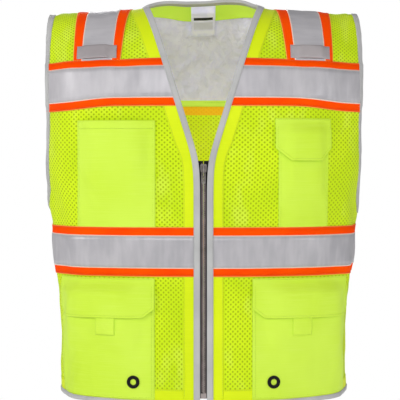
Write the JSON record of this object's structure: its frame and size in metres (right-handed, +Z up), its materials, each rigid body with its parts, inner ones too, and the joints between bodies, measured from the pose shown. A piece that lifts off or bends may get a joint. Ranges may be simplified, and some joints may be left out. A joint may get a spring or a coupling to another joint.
{
  "type": "high visibility vest",
  "caption": "Sleeveless zip-front safety vest in lime mesh with orange-edged silver bands, chest and cargo pockets and mic tabs, shaped as worn.",
  "frame": {"origin": "the wearer's body axis at the height of the hem", "axes": "+Z up the body, -Y out of the front, +X towards the wearer's left"},
  "size_m": [0.5058, 0.2683, 0.6283],
  "materials": {
    "lime_mesh": "matte",
    "lime_cloth": "satin",
    "orange_tape": "matte",
    "silver_tape": "satin",
    "grey_binding": "matte",
    "mic_tab_cloth": "satin",
    "lining_cloth": "matte",
    "label_cloth": "matte",
    "hook_and_loop": "matte",
    "zipper_cloth": "matte",
    "zipper_teeth": "satin",
    "zipper_metal": "polished",
    "grommet_enamel": "gloss"
  },
  "bodies": {
    "vest": {"front_panel_left": "lime_mesh", "front_panel_right": "lime_mesh", "back_panel": "lime_mesh", "front_facing_left": "lime_cloth", "front_facing_right": "lime_cloth", "back_neck_facing": "lime_cloth", "hem_facing": "lime_cloth", "chest_pocket_left": "lime_cloth", "chest_pocket_right": "lime_cloth", "cargo_pocket_left": "lime_cloth", "cargo_pocket_right": "lime_cloth", "chest_backing_left": "orange_tape", "chest_backing_right": "orange_tape", "chest_backing_back": "orange_tape", "waist_backing_left": "orange_tape", "waist_backing_right": "orange_tape", "waist_backing_back": "orange_tape", "shoulder_backing_left": "orange_tape", "shoulder_backing_right": "orange_tape", "chest_tape_left": "silver_tape", "chest_tape_right": "silver_tape", "chest_tape_back": "silver_tape", "waist_tape_left": "silver_tape", "waist_tape_right": "silver_tape", "waist_tape_back": "silver_tape", "shoulder_tape_left": "silver_tape", "shoulder_tape_right": "silver_tape", "front_binding_left": "grey_binding", "front_binding_right": "grey_binding", "armhole_binding_left": "grey_binding", "armhole_binding_right": "grey_binding", "back_neck_binding": "grey_binding", "hem_binding": "grey_binding", "mic_tab_left": "mic_tab_cloth", "mic_tab_right": "mic_tab_cloth", "back_lining": "lining_cloth", "neck_label": "label_cloth", "chest_loop_patch": "hook_and_loop", "cargo_loop_patch_left": "hook_and_loop", "cargo_loop_patch_right": "hook_and_loop", "zipper_tape_left": "zipper_cloth", "zipper_tape_right": "zipper_cloth", "zipper_teeth_left": "zipper_teeth", "zipper_teeth_right": "zipper_teeth", "zipper_box": "zipper_teeth", "grommet_left": "grommet_enamel", "grommet_right": "grommet_enamel", "grommet_washer_left": "grommet_enamel", "grommet_washer_right": "grommet_enamel"},
    "chest_flap_body": {"chest_flap": "lime_cloth", "chest_hook_patch": "hook_and_loop"},
    "cargo_flap_body_left": {"cargo_flap_left": "lime_cloth", "cargo_hook_patch_left": "hook_and_loop", "flap_pull_tab_left": "lime_cloth"},
    "cargo_flap_body_right": {"cargo_flap_right": "lime_cloth", "cargo_hook_patch_right": "hook_and_loop", "flap_pull_tab_right": "lime_cloth"},
    "slider_body": {"zipper_slider": "zipper_metal", "zipper_slider_back": "zipper_metal"},
    "pull_body": {"zipper_pull": "zipper_metal"}
  },
  "joints": [
    {"name": "slider_travel", "type": "slide", "parent": "vest", "child": "slider_body", "axis": [0, 0, -1], "range_m": [0, 0.335]},
    {"name": "pull_swing", "type": "hinge", "parent": "slider_body", "child": "pull_body", "pos_m": [0, -0.13275, 0.35095], "axis": [-1, 0, 0], "range_deg": [0, 160]},
    {"name": "chest_flap_lift", "type": "hinge", "parent": "vest", "child": "chest_flap_body", "pos_m": [0.1581, -0.11671, 0.431], "axis": [-0.9698, -0.2438, 0], "range_deg": [0, 140]},
    {"name": "cargo_flap_left_lift", "type": "hinge", "parent": "vest", "child": "cargo_flap_body_left", "pos_m": [0.16751, -0.10873, 0.18544], "axis": [-0.9262, -0.3771, 0], "range_deg": [0, 120]},
    {"name": "cargo_flap_right_lift", "type": "hinge", "parent": "vest", "child": "cargo_flap_body_right", "pos_m": [-0.16751, -0.10873, 0.18544], "axis": [-0.9262, 0.3771, 0], "range_deg": [0, 120]}
  ]
}
